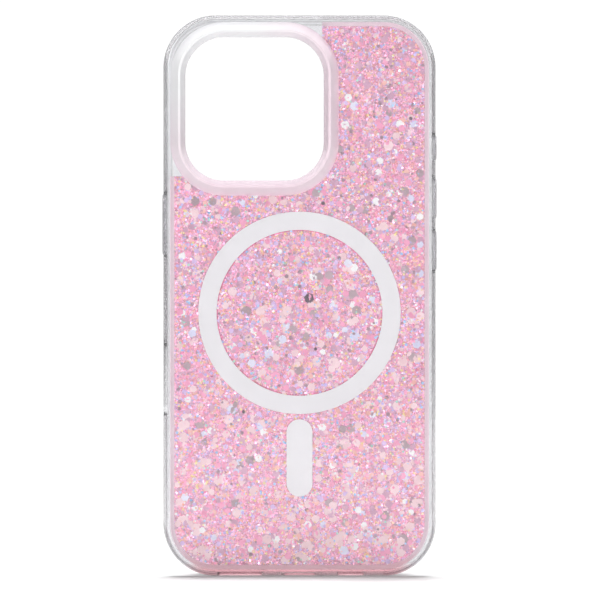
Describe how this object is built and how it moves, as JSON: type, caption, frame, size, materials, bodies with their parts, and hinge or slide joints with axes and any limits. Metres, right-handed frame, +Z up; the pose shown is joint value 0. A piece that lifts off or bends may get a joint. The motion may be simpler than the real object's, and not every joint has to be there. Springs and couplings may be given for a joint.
{
  "type": "phone case",
  "caption": "Clear phone case with a soft bumper, a glitter back, a raised camera guard, pressable button covers and a built-in magnet ring for chargers and stands.",
  "frame": {"origin": "middle of the case's footprint, on the bottom edge that it stands on", "axes": "+X to the right seen from the glitter back, +Y out through the open front, +Z up to the camera end"},
  "size_m": [0.075, 0.014, 0.1528],
  "materials": {
    "clear_bumper": "clear flexible plastic, glossy",
    "clear_plate": "clear hard plastic, polished",
    "tinted_guard": "clear plastic with a faint pink tint, glossy",
    "glitter": "pink resin full of fine holographic glitter",
    "flake": "metallised hexagonal flakes, mirror bright",
    "clear_adhesive": "clear bonding strip",
    "pink_film": "pearly pink film",
    "clear_liner": "clear plastic sheet",
    "white_cover": "matte white printed film",
    "magnet": "nickel-plated magnets",
    "adhesive_tape": "double-sided tape",
    "clear_button": "clear flexible plastic, glossy"
  },
  "bodies": {
    "case": {"bumper_frame": "clear_bumper", "back_plate": "clear_plate", "camera_guard": "tinted_guard", "glitter_resin": "glitter", "glitter_flakes": "flake", "border_adhesive": "clear_adhesive", "tint_film": "pink_film", "inner_liner": "clear_liner", "ring_cover_outer": "white_cover", "ring_cover_inner": "white_cover", "ring_magnets": "magnet", "ring_adhesive": "adhesive_tape", "bar_cover_outer": "white_cover", "bar_cover_inner": "white_cover", "bar_magnets": "magnet", "bar_adhesive": "adhesive_tape"},
    "action_cover": {"action_button": "clear_button"},
    "volume_up_cover": {"volume_up_button": "clear_button"},
    "volume_down_cover": {"volume_down_button": "clear_button"},
    "side_cover": {"side_button": "clear_button"}
  },
  "joints": [
    {"name": "action_press", "type": "slide", "parent": "case", "child": "action_cover", "axis": [-1, 0, 0], "range_m": [0, 0.00035], "stiffness_N_per_m": 2000},
    {"name": "volume_up_press", "type": "slide", "parent": "case", "child": "volume_up_cover", "axis": [-1, 0, 0], "range_m": [0, 0.00035], "stiffness_N_per_m": 2000},
    {"name": "volume_down_press", "type": "slide", "parent": "case", "child": "volume_down_cover", "axis": [-1, 0, 0], "range_m": [0, 0.00035], "stiffness_N_per_m": 2000},
    {"name": "side_press", "type": "slide", "parent": "case", "child": "side_cover", "axis": [1, 0, 0], "range_m": [0, 0.00035], "stiffness_N_per_m": 2000}
  ]
}
